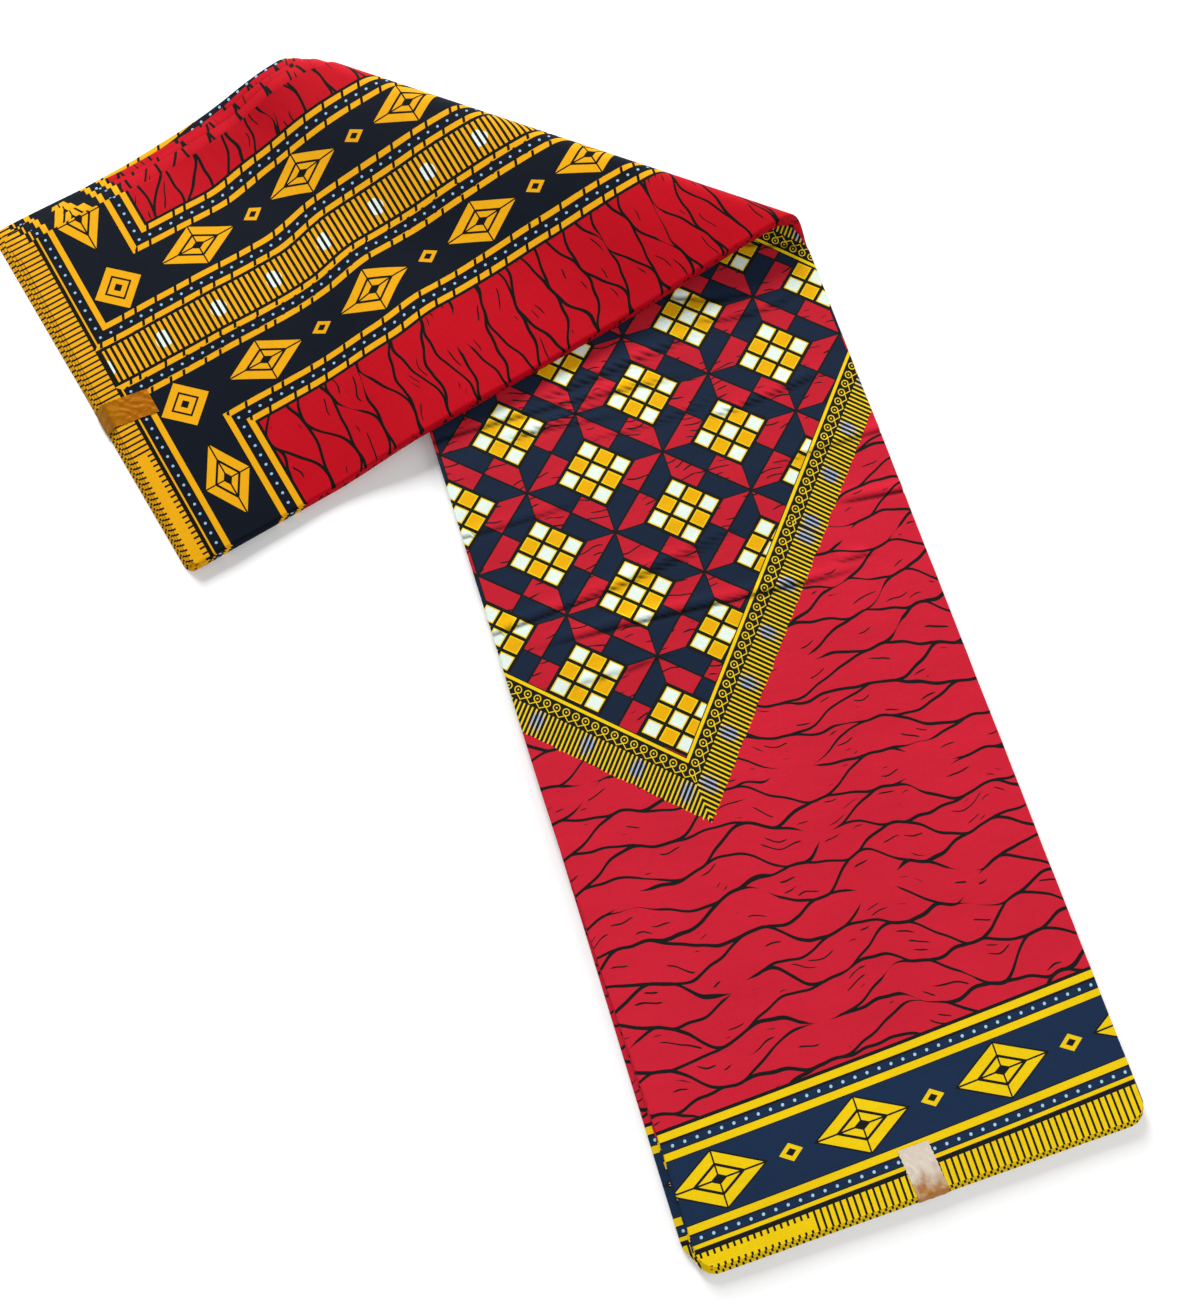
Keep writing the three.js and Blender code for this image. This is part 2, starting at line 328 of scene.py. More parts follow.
def lower_rows(w, layer):
    creased = CREASED_ROWS["rows"]
    plain = LOWER_ROWS - creased
    before = round(plain * CREASED_ROWS["from"] / (CREASED_ROWS["from"] + 1 - CREASED_ROWS["to"]))
    numbers = (0, before, before + creased, LOWER_ROWS)
    shares = (0.0, CREASED_ROWS["from"], CREASED_ROWS["to"], 1.0)
    share = np.interp(np.arange(LOWER_ROWS + 1), numbers, shares)[:, None]
    return mix(layer.front(w), strip_at(0.0, w), share)


def upper_rows(w, layer):
    rolled = strip_at(TURN_LENGTH * np.linspace(0, 1, TURN_ROWS + 1)[:, None], w[: TURN_ROWS + 1])
    share = np.linspace(0, 1, UPPER_ROWS + 1)[1:, None]
    laid = w[TURN_ROWS + 1 :]
    return np.concatenate([rolled, mix(strip_at(TURN_LENGTH, laid), layer.far(laid), share)])


def grid_of(rows, row_count, level):
    """The strip coordinates of one level of a stretch, as two grids.

    The side edges depend on s and the end rows on w, so they are fitted to each other in rounds."""
    h, inset, layer = level
    flat = np.linspace(0, 1, CROSS_ROWS + 1)
    across_share = mix(flat, smooth(flat), EDGE_CROWDING)[None, :]
    nose = 1 - math.sqrt(max(1 - (2 * h / STRIP_THICKNESS - 1) ** 2, 0.0))
    w = np.repeat(mix(-HALF_WIDTH, HALF_WIDTH, across_share), row_count, axis=0)
    right = HALF_WIDTH - FOLDED_SIDE_DEPTH * nose
    for _ in range(FITTING_ROUNDS):
        left = layer.left(rows(w, layer)) + inset
        w = mix(left, right, across_share)
    return rows(w, layer), w


def true_print(s, w, h, layer, turned):
    """The print's coordinates. On the roll the cloth's two faces keep their real lengths."""
    past = past_turn(s, w)
    inner = h > STRIP_THICKNESS / 2
    angle = np.clip(past / TURN_LENGTH, 0, 1) * math.pi
    outer_radius = TURN_RADIUS + STRIP_THICKNESS
    on_roll = TURN_RADIUS * angle if inner else TURN_LENGTH - outer_radius * (math.pi - angle)
    real = np.where((past > 0) & (past < TURN_LENGTH), on_roll, past)
    slip = np.where(past > 0, real - past, 0.0)
    return layer.print_place(s + slip * ALONG_OVER_TURN, w + slip * ACROSS_OVER_TURN, turned)


def grid_quads(index):
    quads = [index[:-1, :-1], index[:-1, 1:], index[1:, 1:], index[1:, :-1]]
    return np.stack(quads, axis=-1).reshape(-1, 4)


def grid_rim(index):
    return np.concatenate([index[0, :-1], index[:-1, -1], index[-1, :0:-1], index[:0:-1, 0]])


def new_mesh(name, points, faces):
    mesh = bpy.data.meshes.new(name)
    mesh.from_pydata((points * MM).tolist(), [], faces.tolist())
    mesh.polygons.foreach_set("use_smooth", np.ones(len(faces), dtype=bool))
    return mesh


def new_piece(name, mesh):
    """An object of the mesh, with its sharp edges kept sharp."""
    mesh.set_sharp_from_angle(angle=math.radians(SHARP_ANGLE))
    mesh.update()
    piece = bpy.data.objects.new(name, mesh)
    bpy.context.collection.objects.link(piece)
    return piece


def cloth_mesh(name, rows, row_count, relief, shade, lifted_top, materials):
    """A stretch of the strip: two covers, and walls whose layers show one by one.

    The relief lifts the top cover or the bottom one, and fades towards the other. Only the top
    cover gets painted shade, in its creases."""
    levels = side_levels()
    grids = [grid_of(rows, row_count, level) for level in levels]
    columns = CROSS_ROWS + 1
    index = np.arange(row_count * columns).reshape(row_count, columns)
    rim = grid_rim(index)

    points, starts, members, shades = [], [], [], []
    total = 0
    for number, (level, (s, w)) in enumerate(zip(levels, grids)):
        share = level[0] / STRIP_THICKNESS
        lift = relief(s, w)
        h = level[0] + lift * share if lifted_top else level[0] - lift * (1 - share)
        cover = number in (0, len(levels) - 1)
        chosen = np.arange(index.size) if cover else rim
        points.append(place(s.ravel()[chosen], w.ravel()[chosen], h.ravel()[chosen]))
        shades.append(shade(s, w).ravel()[chosen] * (number == len(levels) - 1))
        starts.append(total)
        members.append(rim if cover else np.arange(rim.size))
        total += chosen.size

    faces, prints, slots = [], [], []
    corners = grid_quads(index)
    for number, underside in ((0, True), (len(levels) - 1, False)):
        s, w = (grid.ravel() for grid in grids[number])
        order = corners[:, ::-1] if underside else corners
        owner = levels[number][2]
        faces.append(order + starts[number])
        prints.append(true_print(s, w, levels[number][0], owner, underside)[order])
        slots.append(np.full(len(order), 1 if underside else 0))
    for number in range(len(levels) - 1):
        below, above = levels[number], levels[number + 1]
        owner = below[2] if lifted_top else above[2]
        ring = np.arange(rim.size)
        after = np.roll(ring, -1)
        low, high = members[number] + starts[number], members[number + 1] + starts[number + 1]
        faces.append(np.stack([low[ring], low[after], high[after], high[ring]], axis=-1))
        own = []
        for (s, w), level in ((grids[number], below), (grids[number + 1], above)):
            own.append(true_print(s.ravel()[rim], w.ravel()[rim], level[0], owner, not lifted_top))
        prints.append(np.stack([own[0][ring], own[0][after], own[1][after], own[1][ring]], axis=1))
        slots.append(np.full(rim.size, 0 if lifted_top else 1))

    mesh = new_mesh(name, np.concatenate(points), np.concatenate(faces))
    printed = mesh.attributes.new("cloth", "FLOAT_VECTOR", "CORNER")
    printed.data.foreach_set("vector", np.concatenate(prints).reshape(-1).astype(np.float32))
    # The crease attribute: painted shade in the creases' grooves, and a painted highlight on their
    # ridges.
    painted_crease_shade = mesh.attributes.new("crease", "FLOAT", "POINT")
    painted_crease_shade.data.foreach_set("value", np.concatenate(shades).astype(np.float32))
    mesh.polygons.foreach_set("material_index", np.concatenate(slots).astype(np.int32))
    for material in materials:
        mesh.materials.append(material)
    return new_piece(name, mesh)


# ---- Fields: numbers that vary over the cloth, as node sockets ----


def feed(tree, socket, value):
    if isinstance(value, Field):
        tree.links.new(value.socket, socket)
    else:
        socket.default_value = value


class Field:
    def __init__(self, socket):
        self.socket = socket
        self.tree = socket.id_data

    def math(self, operation, *others):
        node = self.tree.nodes.new("ShaderNodeMath")
        node.operation = operation
        for socket, value in zip(node.inputs, (self, *others)):
            feed(self.tree, socket, value)
        return Field(node.outputs[0])

    def __add__(self, other):
        return self.math("ADD", other)

    def __sub__(self, other):
        return self.math("SUBTRACT", other)

    def __mul__(self, other):
        return self.math("MULTIPLY", other)

    def __truediv__(self, other):
        return self.math("DIVIDE", other)

    def flipped(self):
        return self * -1.0

    def outside(self):
        """1 where this mask is 0, and 0 where it is 1."""
        return self.flipped() + 1.0

    def size(self):
        return self.math("ABSOLUTE")

    def least(self, other):
        return self.math("MINIMUM", other)

    def most(self, other):
        return self.math("MAXIMUM", other)

    def below(self, other):
        return self.math("LESS_THAN", other)

    def above(self, other):
        return self.math("GREATER_THAN", other)

    def between(self, low, high):
        return self.math("COMPARE", (low + high) / 2, (high - low) / 2)

    def to_nearest(self, pitch, first=0.0):
        """Distance to the nearest of a row of places, one pitch apart."""
        shifted = self if first == 0.0 else self - first
        return shifted.math("PINGPONG", pitch / 2)

    def whole(self):
        return self.math("FLOOR")

    def fraction(self):
        return self.math("FRACT")

    def eased(self, low, high):
        node = self.tree.nodes.new("ShaderNodeMapRange")
        node.interpolation_type = "SMOOTHSTEP"
        feed(self.tree, node.inputs["Value"], self)
        node.inputs["From Min"].default_value = low
        node.inputs["From Max"].default_value = high
        return Field(node.outputs["Result"])


def vector_of(x, y):
    node = x.tree.nodes.new("ShaderNodeCombineXYZ")
    feed(x.tree, node.inputs[0], x)
    feed(x.tree, node.inputs[1], y)
    return Field(node.outputs[0])


def noise(x, y, detail=1.0):
    node = x.tree.nodes.new("ShaderNodeTexNoise")
    node.noise_dimensions = "2D"
    feed(x.tree, node.inputs["Vector"], vector_of(x, y))
    node.inputs["Scale"].default_value = 1.0
    node.inputs["Detail"].default_value = detail
    return Field(node.outputs["Fac"])


def chance(x, y):
    """A number from 0 to 1 for each whole x and y."""
    node = x.tree.nodes.new("ShaderNodeTexWhiteNoise")
    node.noise_dimensions = "2D"
    feed(x.tree, node.inputs["Vector"], vector_of(x, y))
    return Field(node.outputs["Value"])


# How much of the light plain white sends back.
WHITENESS = 0.80


def linear(red, green, blue):
    """A colour's 8-bit values, as the share of light that it sends back."""
    channels = []
    for value in (red, green, blue):
        share = value / 255
        channels.append(share / 12.92 if share <= 0.04045 else ((share + 0.055) / 1.055) ** 2.4)
    return (*(WHITENESS * channel for channel in channels), 1.0)


class Paint:
    """A print built up in layers, each one laid over the last where its mask is 1."""

    def __init__(self, tree, ground):
        self.tree = tree
        self.colour = ground

    def lay(self, mask, colour):
        node = self.tree.nodes.new("ShaderNodeMix")
        node.data_type = "RGBA"
        feed(self.tree, node.inputs[0], mask)
        feed(self.tree, node.inputs[6], self.colour)
        feed(self.tree, node.inputs[7], colour)
        self.colour = Field(node.outputs[2])


# ---- The print ----

FACE_INKS = {
    "red": linear(209, 32, 54),
    # deep: a darker copy of red for the panel's ground, painted shade over the panel.
    "deep": linear(196, 30, 48),
    "yellow": linear(248, 210, 10),
    "amber": linear(238, 176, 4),
    "navy": linear(27, 47, 77),
    "deep navy": linear(24, 38, 60),
    "dark": linear(26, 27, 27),
    "pale": linear(232, 248, 236),
    "dots": linear(176, 216, 232),
    "cool": linear(170, 186, 214),
}
# The other face's inks: its own colours, made darker than the face's, partly as painted shade over the
# turned-over upper stretch.
REVERSE_INKS = {
    "red": linear(188, 0, 24),
    "yellow": linear(234, 168, 8),
    "navy": linear(6, 14, 28),
    "dark": linear(10, 11, 8),
    "pale": linear(228, 240, 232),
    "dots": linear(150, 190, 225),
}

DOT = {"pitch": 8.2, "radius": 1.0, "ground": 2.5}
COMB = {"pitch": 4.4, "tooth": 2.9, "tick": 2.0}
LINE_GAP = 0.7

FACE_VEIN = {"pitch": 12.2, "repeat": 104.0, "merge": 1.1, "width": 2.1, "rarity": 0.22}
REVERSE_VEIN = {"pitch": 12.0, "repeat": 122.0, "merge": 1.0, "width": 2.1, "rarity": 0.14}
STROKE = {"pitch": 5.3, "width": 1.05, "off_veins": 3.4}
STROKE_RARITY = {"ground": 0.66, "panel": 0.55}

# Noise over the cloth. size: its patches' lengths across and along the strip. shift: where it
# is taken from. reach: what it is multiplied by.
VEIN_SWAY = {"size": (62.0, 170.0), "shift": (0.0, 0.0), "reach": 30.0}
VEIN_RIPPLE = {"size": (17.0, 60.0), "shift": (0.0, 3.1), "reach": 5.0}
VEIN_DRIFT = {"size": (170.0, 130.0), "shift": (7.3, 0.0), "reach": 5.5}
VEIN_BODY = {"size": (54.0, 23.0), "shift": (1.7, 0.0), "reach": 7.0}
STROKE_SWAY = {"size": (19.0, 40.0), "shift": (0.0, 0.0), "reach": 9.0}
STROKE_BODY = {"size": (22.0, 8.0), "shift": (5.2, 0.0), "reach": 14.0}


def patches(w, s, field):
    (across, along), (w_shift, s_shift) = field["size"], field["shift"]
    return noise(w / across + w_shift, s / along + s_shift, 0.0)


def vein_mask(w, s, vein):
    """Dark veins that run across the strip, meet and part again, as a crackled ground has them.

    Every second vein sways the other way, so neighbours meet, and noise bends the whole."""
    sway = (patches(w, s, VEIN_SWAY) - 0.5) * VEIN_SWAY["reach"]
    ripple = (patches(w, s, VEIN_RIPPLE) - 0.5) * VEIN_RIPPLE["reach"]
    drift = (patches(w, s, VEIN_DRIFT) - 0.5) * VEIN_DRIFT["reach"]
    bent = s + sway + ripple
    level = bent / vein["pitch"]
    side = (level / 2.0).fraction().below(0.5) * 2.0 - 1.0
    phase = w * (2 * math.pi / vein["repeat"]) + drift
    meeting = (phase.math("SINE") * vein["merge"]).least(1.0).most(-1.0)
    aside = (level.to_nearest(1.0) - side * meeting * 0.5).size() * vein["pitch"]
    body = patches(w, s, VEIN_BODY) - vein["rarity"]
    half = (body * VEIN_BODY["reach"]).least(1.0) * (vein["width"] / 2)
    strokes = stroke_mask(w, bent, STROKE_RARITY["ground"]) * aside.above(STROKE["off_veins"])
    return aside.below(half).most(strokes)


def stroke_mask(w, s, rarity):
    """Short fine strokes, a few side by side."""
    bent = s + patches(w, s, STROKE_SWAY) * STROKE_SWAY["reach"]
    body = patches(w, s, STROKE_BODY) - rarity
    half = (body * STROKE_BODY["reach"]).least(1.0) * (STROKE["width"] / 2)
    return bent.to_nearest(STROKE["pitch"]).below(half)


def dot_mask(along, across, middle):
    x = along.to_nearest(DOT["pitch"])
    y = across - middle
    return (x * x + y * y).below(DOT["radius"] ** 2)


# Nested lozenges, from the outside in: each one's share of the half sizes, and its ink.
LARGE_RINGS = ((1.06, "dark"), (0.99, "yellow"), (0.58, "dark"), (0.47, "yellow"), (0.19, "dark"))
SMALL_RINGS = ((1.0, "yellow"), (0.45, "dark"))
SPOKE = 0.55

# The rows of lozenges. first: the place of one of the large ones. large, small: half sizes.
FACE_LOZENGES = {"pitch": 96.0, "first": -22.0, "large": (31.0, 17.2), "small": (8.0, 5.6)}
REVERSE_LOZENGES = {"pitch": 92.0, "first": 102.0, "large": (30.0, 17.2), "small": (8.0, 5.6)}


def lozenges(paint, inks, x, y, half, rings):
    """Nested lozenges round x = 0, y = 0."""
    reach = x.size() / half[0] + y.size() / half[1]
    for share, ink in rings:
        paint.lay(reach.below(share), inks[ink])


def lozenge_row(paint, inks, mask, along, across, row):
    """Large nested lozenges, with small ones halfway between them."""
    x = (along - row["first"]).to_nearest(row["pitch"])
    large = row["large"]
    field = Paint(paint.tree, inks["navy"])
    lozenges(field, inks, x, across, large, LARGE_RINGS)
    spokes = x.least(across.size()).below(SPOKE)
    field.lay(spokes * (x / large[0] + across.size() / large[1]).below(1.0), inks["dark"])
    lozenges(field, inks, x - row["pitch"] / 2, across, row["small"], SMALL_RINGS)
    paint.lay(mask, field.colour)


# The pointed panel's borders: a point of each, and the way outwards from the panel.
PANEL_APEX = (-53.3, 295.8)
PANEL_LEFT = (-0.686, -0.727)
PANEL_RIGHT = (0.763, -0.646)
PANEL_END = {"point": (150.0, 607.0), "outwards": (0.707, 0.707)}

# Its edge, by the distance outwards: a line, a band with rings and a zigzag, and a comb.
PANEL = {"line": 2.2, "band": 12.8, "comb": 31.0, "pitch": 3.1, "tooth": 1.25}
BEAD = {"pitch": 7.2, "at": 6.4, "radius": 2.3, "line": 0.36, "middle": 0.6}
ZIGZAG = {"slope": 0.75, "at": 9.0, "line": 0.4}
FRAY = {"length": 2.4, "depth": 40.0, "reach": 3.0}
COOL_PATCH = {
    "pitch": 37.0,
    "first": 9.0,
    "at": 20.0,
    "squash": 0.6,
    "grain": 5.0,
    "sway": 40.0,
    "radius": 7.0,
    "fade": 5.0,
}

# Its filling: a tile's half diagonals, the motif's share of it, the dark rim round the motif,
# and the dark rays and seams between the navy and red quarters.
TILE = {"across": 50.0, "along": 46.0}
MOTIF = {"share": 0.56, "rim": 1.07, "cells": 3}
CELL_LINE = {"yellow": 0.345, "dark": 0.41}
RAY = 0.009
SEAM = 0.489


def outwards(w, s, point, direction):
    return (w - point[0]) * direction[0] + (s - point[1]) * direction[1]


def panel_ground(paint, inks, w, s, mask):
    """Chequered rhombi, half dropped, on a ground of navy and red quarters."""
    x = w / TILE["across"]
    y = s / TILE["along"]
    one = ((x + y) / 2 + 0.5).fraction() - 0.5
    two = ((x - y) / 2 + 0.5).fraction() - 0.5
    # The panel's ground is the darker copy of red, painted shade over the panel.
    ground = Paint(paint.tree, inks["deep"])
    ground.lay(stroke_mask(w, s, STROKE_RARITY["panel"]), inks["dark"])
    sector = one * two * (one.size() - two.size())
    ground.lay(sector.above(0.0), inks["deep navy"])
    diagonal = (one.size() - two.size()).size()
    ray = diagonal.least(one.size()).least(two.size()).below(RAY)
    seam = one.size().most(two.size()).above(SEAM)
    ground.lay(ray.most(seam), inks["dark"])

    half = MOTIF["share"] / 2
    edge = one.size().most(two.size()) / half
    ground.lay(edge.below(MOTIF["rim"]), inks["dark"])
    u = (one / half + 1) * (MOTIF["cells"] / 2)
    v = (two / half + 1) * (MOTIF["cells"] / 2)
    odd = (u.whole() + v.whole()).math("MODULO", 2.0).above(0.5)
    motif = Paint(paint.tree, inks["pale"])
    motif.lay(odd, inks["amber"])
    in_cell = (u.fraction() - 0.5).size().most((v.fraction() - 0.5).size())
    motif.lay(in_cell.above(CELL_LINE["yellow"]), inks["yellow"])
    motif.lay(in_cell.above(CELL_LINE["dark"]), inks["dark"])
    ground.lay(edge.below(1.0), motif.colour)
    paint.lay(mask, ground.colour)


def panel_comb(tree, inks, along, depth):
    """Fine teeth, with soft bluish patches where the dye is thin."""
    x = along.to_nearest(COOL_PATCH["pitch"], COOL_PATCH["first"])
    y = depth - COOL_PATCH["at"]
    ragged = noise(along / COOL_PATCH["grain"], depth / COOL_PATCH["grain"])
    sway = ragged * COOL_PATCH["sway"] - COOL_PATCH["sway"] / 2
    spread = (x * x + y * y * COOL_PATCH["squash"] + sway).most(0.0).math("SQRT")
    patch = (spread.flipped() + COOL_PATCH["radius"]).eased(0.0, COOL_PATCH["fade"])
    tooth = along.to_nearest(PANEL["pitch"]).below(PANEL["tooth"] / 2)
    comb = Paint(tree, inks["dark"])
    comb.lay(tooth, inks["yellow"])
    comb.lay(tooth * patch, inks["cool"])
    return comb.colour


def panel_band(tree, inks, along, depth):
    """A ring with a bead in it, over and over, along a zigzag, and a plain line inside them."""
    x = along.to_nearest(BEAD["pitch"])
    y = depth - BEAD["at"]
    bead = (x * x + y * y).math("SQRT")
    zigzag = depth - x * ZIGZAG["slope"] - ZIGZAG["at"]
    band = Paint(tree, inks["dark"])
    band.lay((bead - BEAD["radius"]).size().below(BEAD["line"]), inks["yellow"])
    band.lay(bead.below(BEAD["middle"]), inks["yellow"])
    band.lay(zigzag.size().below(ZIGZAG["line"]), inks["yellow"])
    band.lay(depth.below(PANEL["line"]), inks["yellow"])
    return band.colour


def panel(paint, inks, w, s):
    """The pointed panel: its filling, a fine line, an ornamented band and a comb."""
    p = outwards(w, s, PANEL_APEX, PANEL_LEFT)
    q = outwards(w, s, PANEL_APEX, PANEL_RIGHT)
    r = outwards(w, s, PANEL_END["point"], PANEL_END["outwards"])
    depth = p.most(q).most(r)
    along = p.most(q).least(p.least(q).most(r))
    fray = noise(along / FRAY["length"], depth / FRAY["depth"]) * FRAY["reach"]
    comb_end = fray + (PANEL["comb"] - FRAY["reach"] / 2)
    paint.lay(depth.below(comb_end), panel_comb(paint.tree, inks, along, depth))
    paint.lay(depth.below(PANEL["band"]), panel_band(paint.tree, inks, along, depth))
    paint.lay(depth.below(0.0), inks["dark"])
    panel_ground(paint, inks, w, s, depth.below(-LINE_GAP))


# The bands of the front end, by distance from it. lean, bow: how the bands stray from square.
FRONT_BANDS = {
    "comb": 13.9,
    "lines": ((16.9, 19.3), (26.0, 30.7), (70.5, 75.0), (82.3, 87.0)),
    "dots": (22.5, 78.3),
    "navy": (31.4, 69.9),
    "end": 89.2,
    "lean": 0.031,
    "bow": 1.0 / 140.0**2,
}

# How far the top layer reaches past s = 0, from which the panel is placed.
FRONT_REACH = 5.9

# Each face's comb: how deep its teeth are, and its plain stretch.
FACE_COMB = {"depth": 13.0, "plain": (-146.0, -70.0)}
REVERSE_COMB = {"depth": 11.5, "plain": (62.0, 152.0)}


def comb_mask(across, edge, distance, comb):
    """An end's teeth. Along the plain stretch they are ticks on either side of a bare block."""
    tooth = across.to_nearest(COMB["pitch"]).below(COMB["tooth"] / 2)
    middle = edge.above(COMB["tick"]) * distance.below(comb["depth"] - COMB["tick"])
    return tooth.most(across.between(*comb["plain"]) * middle)


def face_print(tree, w, a, d):
    """The face's print. w: across. a, d: the distances from the front and from the far end."""
    inks = FACE_INKS
    paint = Paint(tree, inks["red"])
    paint.lay(vein_mask(w, d, FACE_VEIN), inks["dark"])
    panel(paint, inks, w, a - FRONT_REACH)

    b = a - w * FRONT_BANDS["lean"] - w * w * FRONT_BANDS["bow"]
    bands = Paint(tree, inks["dark"])
    for low, high in FRONT_BANDS["lines"]:
        bands.lay(b.between(low, high), inks["yellow"])
    for middle in FRONT_BANDS["dots"]:
        bands.lay((b - middle).size().below(DOT["ground"]), inks["navy"])
        bands.lay(dot_mask(w, b, middle), inks["dots"])
    middle = sum(FRONT_BANDS["navy"]) / 2
    in_navy = b.between(*FRONT_BANDS["navy"])
    lozenge_row(bands, inks, in_navy, w, b - middle, FACE_LOZENGES)
    comb = Paint(tree, inks["dark"])
    comb.lay(comb_mask(w, a, b, FACE_COMB), inks["yellow"])
    bands.lay(b.below(FRONT_BANDS["comb"]), comb.colour)
    paint.lay(b.below(FRONT_BANDS["end"]), bands.colour)
    return paint.colour


# The other face: a ladder lengthwise, a lozenge field on either side of it and across the far
# end, each within a frame of two yellow lines with a row of dots between them.
END_COMB = 13.4
LADDER = {"low": -26.8, "high": 5.5, "pitch": 4.48, "tooth": 2.4, "inset": 2.4, "from": 17.5}
PALE_PATCH = {
    "pitch": 45.0,
    "first": 60.0,
    "middle": -10.5,
    "squash": 0.8,
    "grain": 9.0,
    "sway": 30.0,
    "reach": 50.0,
}
OUTER_FRAME = {
    "low": -81.2,
    "high": 62.9,
    "from_low": 72.0,
    "from_high": 69.4,
    "squeeze": 0.95,
    "width": 18.6,
}
INNER_FRAME_WIDTH = 17.0
FRAME_LINES = ((0.0, 4.2), (12.1, 16.4))
FRAME_DOTS = 8.2
END_LINE_FROM = 2.9

# The lozenge field: its middle line, the half size of the one at its corner, how far it is
# plain about that one, and where it is plain again by the strip's edge.
FIELD = {"middle": 36.8, "corner": (19.0, 19.0), "plain": 28.0, "plain_edge": 138.0}

# The cuts that make dashes of the lengthwise yellow lines. line: the width of cloth that shares
# one set of cuts. play: how much of its pitch a cut may move over.
DASH = {"pitch": 15.5, "lean": 0.4, "cut": 2.2, "line": 9.0, "play": 0.6}

# The lengthwise bands swing aside twice on their way from the far end.
BAND_LEAN = 0.33
BAND_SWINGS = {"near": (170.0, 218.0), "near_reach": 5.0, "far": (250.0, 330.0), "far_reach": 1.5}


def dash_cuts(d, wb):
    """The cuts, one in each pitch of each line, each at a chance place in its pitch."""
    at = (d + wb * DASH["lean"]) / DASH["pitch"]
    line_number = (wb / DASH["line"]).whole()
    place_in_pitch = chance(at.whole(), line_number) * DASH["play"] + (1 - DASH["play"]) / 2
    return (at.fraction() - place_in_pitch).size().below(DASH["cut"] / DASH["pitch"] / 2)


def frame_dots(paint, inks, along, across):
    paint.lay((across - FRAME_DOTS).size().below(DOT["ground"]), inks["navy"])
    paint.lay(dot_mask(along, across, FRAME_DOTS), inks["dots"])


def ladder_print(tree, inks, d, wb):
    """Rungs, with pale patches down the ladder's middle."""
    x = d.to_nearest(PALE_PATCH["pitch"], PALE_PATCH["first"])
    y = wb - PALE_PATCH["middle"]
    sway = noise(d / PALE_PATCH["grain"], wb / PALE_PATCH["grain"]) * PALE_PATCH["sway"]
    patch = (x * x + y * y * PALE_PATCH["squash"] + sway).below(PALE_PATCH["reach"])
    rungs = d.to_nearest(LADDER["pitch"]).below(LADDER["tooth"] / 2)
    ladder = Paint(tree, inks["dark"])
    ladder.lay(rungs, inks["yellow"])
    ladder.lay(rungs * patch, inks["pale"])
    return ladder.colour


def reverse_print(tree, w, a, d):
    """The other face's print, from the same places as the face's."""
    inks = REVERSE_INKS
    paint = Paint(tree, inks["red"])
    paint.lay(vein_mask(w, a, REVERSE_VEIN), inks["dark"])
    near_swing = (d - w * BAND_LEAN).eased(*BAND_SWINGS["near"]) * BAND_SWINGS["near_reach"]
    far_swing = d.eased(*BAND_SWINGS["far"]) * BAND_SWINGS["far_reach"]
    wb = w + near_swing + far_swing

    across = (wb - OUTER_FRAME["high"]).most(wb.flipped() + OUTER_FRAME["low"])
    further = OUTER_FRAME["from_high"] - OUTER_FRAME["from_low"]
    start = w.above(0.0) * further + OUTER_FRAME["from_low"]
    ahead = (d - start) * OUTER_FRAME["squeeze"]
    outer = across.least(ahead)
    cuts = dash_cuts(d, wb)
    frame_paint = Paint(tree, inks["dark"])
    for low, high in FRAME_LINES:
        frame_paint.lay(outer.between(low, high), inks["yellow"])
    frame_paint.lay(cuts * across.below(ahead), inks["dark"])
    frame_dots(frame_paint, inks, across.most(ahead), outer)
    paint.lay(outer.below(OUTER_FRAME["width"]), frame_paint.colour)

    inner_across = (wb - LADDER["high"]).most(wb.flipped() + LADDER["low"])
    inner_ahead = d - END_COMB
    inner = inner_across.least(inner_ahead)
    inner_along = inner_across.most(inner_ahead)
    middle = FIELD["middle"]
    field = Paint(tree, inks["navy"])
    lozenge_row(field, inks, inner.above(0.0), inner_along, inner - middle, REVERSE_LOZENGES)
    plain = inner_along.below(middle + FIELD["plain"]).most(w.above(FIELD["plain_edge"]))
    field.lay(plain, inks["navy"])
    lozenges(field, inks, inner_across - middle, inner_ahead - middle, FIELD["corner"], LARGE_RINGS)
    paint.lay(outer.below(-LINE_GAP), field.colour)

    lines = Paint(tree, inks["dark"])
    lines.lay(inner.between(*FRAME_LINES[1]), inks["yellow"])
    across_end = inner_ahead.below(inner_across)
    left_off = across_end * inner.below(END_LINE_FROM)
    lines.lay(inner.between(*FRAME_LINES[0]) * left_off.outside(), inks["yellow"])
    lines.lay(cuts * across_end.outside(), inks["dark"])
    frame_dots(lines, inks, inner_along, inner)
    paint.lay(inner.below(INNER_FRAME_WIDTH), lines.colour)

    in_ladder = inner_across.below(-LADDER["inset"]) * d.above(LADDER["from"])
    paint.lay(in_ladder, ladder_print(tree, inks, d, wb))
    comb = Paint(tree, inks["dark"])
    comb.lay(comb_mask(w, d, d, REVERSE_COMB), inks["yellow"])
    paint.lay(d.below(END_COMB), comb.colour)
    return paint.colour


# ---- Materials ----

WEAVE = {"pitch": 0.42, "height": 0.012}
CRUMPLE = {"across": 26.0, "along": 11.0, "detail": 3.0, "height": 0.35}
FADE = {"across": 90.0, "along": 120.0, "detail": 2.0, "share": 0.14}
THREAD = {"width": 0.6, "length": 14.0, "share": 0.09}
COTTON = {
    "Roughness": 0.8,
    "Specular IOR Level": 0.08,
    "Sheen Weight": 0.01,
    "Sheen Roughness": 0.4,
}
FOIL = {"Metallic": 0.45, "Roughness": 0.46}
FOIL_BLOTCH = {"across": 6.0, "along": 7.0, "detail": 2.0, "share": 0.7}
FOIL_CHANGE = (0.35, 1.0)
FACETS = {"across": 5.2, "along": 7.5, "detail": 2.0, "height": 0.3}
SCUFFS = {"across": 0.9, "along": 1.3, "detail": 1.0, "height": 0.05}
FLOOR = {"Base Color": (0.92, 0.92, 0.92, 1.0), "Roughness": 0.9, "Specular IOR Level": 0.1}


